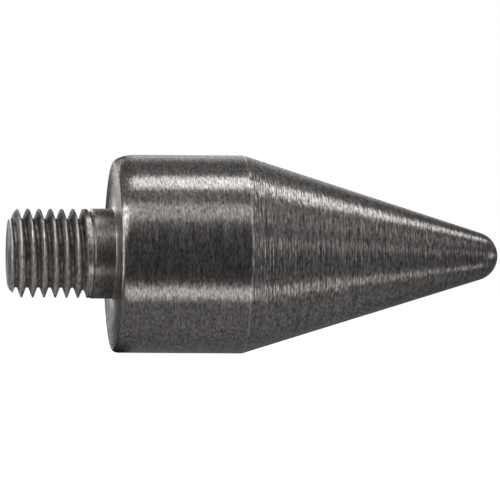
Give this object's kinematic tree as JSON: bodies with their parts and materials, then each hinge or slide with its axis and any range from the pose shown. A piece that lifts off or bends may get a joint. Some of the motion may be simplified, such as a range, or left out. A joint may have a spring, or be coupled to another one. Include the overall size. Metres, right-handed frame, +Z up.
{
  "type": "live center",
  "caption": "Rotating lathe center: a slim 35 degree cone with a round nose turns on bearings in a short cylindrical housing, which screws in by a threaded shank.",
  "frame": {"origin": "on the axis of turning, in the plane of the rear shoulder, where the threaded shank leaves the housing", "axes": "+X along the axis of turning, towards the nose of the point; -X towards the threaded shank; +Z up as the picture shows it lying; the object is round about X"},
  "size_m": [0.0872, 0.035, 0.035],
  "materials": {
    "shank_steel": "dark turned steel with sharp thread crests",
    "housing_steel": "dark turned steel, fine lathe lines round the body",
    "point_steel": "dark turned steel, fine lathe lines and scratches round the cone",
    "race_steel": "ground bearing steel",
    "roller_steel": "polished bearing steel",
    "cage_brass": "satin machined brass",
    "spacer_steel": "plain turned steel",
    "spring_steel": "blued spring steel",
    "seal_rubber": "matt nitrile rubber"
  },
  "bodies": {
    "housing": {"threaded_shank": "shank_steel", "housing_sleeve": "housing_steel", "shank_o_ring": "seal_rubber", "front_seal": "seal_rubber", "front_bearing_outer_race": "race_steel", "outer_spacer": "spacer_steel", "wave_spring": "spring_steel", "rear_spacer_tube": "spacer_steel", "thrust_housing_washer": "race_steel", "shim_washer": "spacer_steel", "needle_bearing_shell": "race_steel"},
    "point": {"center_point": "point_steel", "front_bearing_inner_race": "race_steel", "retaining_ring": "spring_steel", "inner_spacer": "spacer_steel", "thrust_shaft_washer": "race_steel"},
    "front_rolling_set": {"front_bearing_cage": "cage_brass", "front_ball_01": "roller_steel", "front_ball_02": "roller_steel", "front_ball_03": "roller_steel", "front_ball_04": "roller_steel", "front_ball_05": "roller_steel", "front_ball_06": "roller_steel", "front_ball_07": "roller_steel", "front_ball_08": "roller_steel", "front_ball_09": "roller_steel", "front_ball_10": "roller_steel"},
    "thrust_rolling_set": {"thrust_cage": "cage_brass", "thrust_ball_01": "roller_steel", "thrust_ball_02": "roller_steel", "thrust_ball_03": "roller_steel", "thrust_ball_04": "roller_steel", "thrust_ball_05": "roller_steel", "thrust_ball_06": "roller_steel", "thrust_ball_07": "roller_steel", "thrust_ball_08": "roller_steel", "thrust_ball_09": "roller_steel", "thrust_ball_10": "roller_steel", "thrust_ball_11": "roller_steel", "thrust_ball_12": "roller_steel"},
    "needle_rolling_set": {"needle_bearing_cage": "spacer_steel", "needle_roller_01": "roller_steel", "needle_roller_02": "roller_steel", "needle_roller_03": "roller_steel", "needle_roller_04": "roller_steel", "needle_roller_05": "roller_steel", "needle_roller_06": "roller_steel", "needle_roller_07": "roller_steel", "needle_roller_08": "roller_steel", "needle_roller_09": "roller_steel", "needle_roller_10": "roller_steel"}
  },
  "joints": [
    {"name": "point_spin", "type": "hinge", "parent": "housing", "child": "point", "pos_m": [0, 0, 0], "axis": [1, 0, 0], "continuous": true},
    {"name": "front_set_spin", "type": "hinge", "parent": "housing", "child": "front_rolling_set", "pos_m": [0, 0, 0], "axis": [1, 0, 0], "continuous": true},
    {"name": "thrust_set_spin", "type": "hinge", "parent": "housing", "child": "thrust_rolling_set", "pos_m": [0, 0, 0], "axis": [1, 0, 0], "continuous": true},
    {"name": "needle_set_spin", "type": "hinge", "parent": "housing", "child": "needle_rolling_set", "pos_m": [0, 0, 0], "axis": [1, 0, 0], "continuous": true}
  ],
  "couplings": [
    {"joint": "front_set_spin", "follows": "point_spin", "ratio": 0.4118},
    {"joint": "thrust_set_spin", "follows": "point_spin", "ratio": 0.5},
    {"joint": "needle_set_spin", "follows": "point_spin", "ratio": 0.4128}
  ]
}
